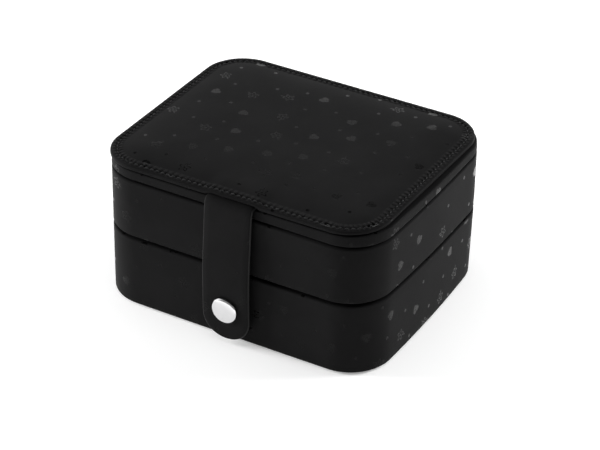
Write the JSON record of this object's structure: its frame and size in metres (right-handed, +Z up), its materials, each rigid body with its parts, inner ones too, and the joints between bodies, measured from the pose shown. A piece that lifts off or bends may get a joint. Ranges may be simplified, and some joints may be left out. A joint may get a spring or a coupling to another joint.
{
  "type": "jewelry box",
  "caption": "Two-layer travel jewelry box with a padded hinged lid, mirror, ring rolls, lined compartments and a front strap closed by a snap button.",
  "frame": {"origin": "centre of the base pad's underside, on the surface the box stands on", "axes": "+X to the right seen from the front, +Y towards the hinge strip at the back, +Z up; the strap and snap are at -Y"},
  "size_m": [0.1521, 0.1353, 0.0813],
  "materials": {
    "pu_leather": "matte black PU with glossier pressed motifs of small hearts, dots and outline flowers",
    "velvet": "short-pile charcoal velvet",
    "shell_board": "plain fibreboard, hidden under cover and lining",
    "foam": "soft padding foam, hidden",
    "mirror_glass": "silvered glass with a ground edge",
    "chrome": "polished nickel-chrome plate",
    "thread": "twisted black sewing thread"
  },
  "bodies": {
    "lower_case": {"base_pad": "velvet", "lower_cover": "pu_leather", "lower_shell": "shell_board", "lower_lining": "velvet", "lower_divider_long": "velvet", "lower_divider_front": "velvet", "lower_divider_back": "velvet", "snap_stud": "chrome", "snap_post": "chrome", "lower_hinge_leaf": "pu_leather"},
    "upper_case": {"upper_cover": "pu_leather", "upper_shell": "shell_board", "upper_lining": "velvet", "upper_underside": "velvet", "upper_divider_left": "velvet", "upper_divider_right": "velvet", "upper_divider_centre": "velvet", "upper_divider_left_cross": "velvet", "upper_divider_right_cross": "velvet", "ring_roll_1": "velvet", "ring_roll_2": "velvet", "ring_roll_3": "velvet", "ring_roll_4": "velvet", "ring_roll_5": "velvet", "ring_roll_6": "velvet", "ring_roll_7": "velvet", "upper_hinge_leaf": "pu_leather"},
    "lid": {"lid_cover": "pu_leather", "lid_shell": "shell_board", "lid_lining": "velvet", "mirror": "mirror_glass", "mirror_frame": "velvet", "lid_panel_backing": "pu_leather", "lid_foam": "foam", "lid_top_panel": "pu_leather", "strap_anchor": "pu_leather", "lid_hinge_leaf": "pu_leather"},
    "strap": {"strap_outer": "pu_leather", "strap_lining": "pu_leather", "snap_cap": "chrome", "snap_socket": "chrome"}
  },
  "joints": [
    {"name": "upper_case_hinge", "type": "hinge", "parent": "lower_case", "child": "upper_case", "pos_m": [0, 0.0643, 0.0388], "axis": [-1, 0, 0], "range_deg": [0, 85]},
    {"name": "lid_hinge", "type": "hinge", "parent": "upper_case", "child": "lid", "pos_m": [0, 0.0643, 0.0711], "axis": [-1, 0, 0], "range_deg": [0, 95]},
    {"name": "strap_hinge", "type": "hinge", "parent": "lid", "child": "strap", "pos_m": [0.0015, -0.0645, 0.0765], "axis": [-1, 0, 0], "range_deg": [0, 110]}
  ]
}
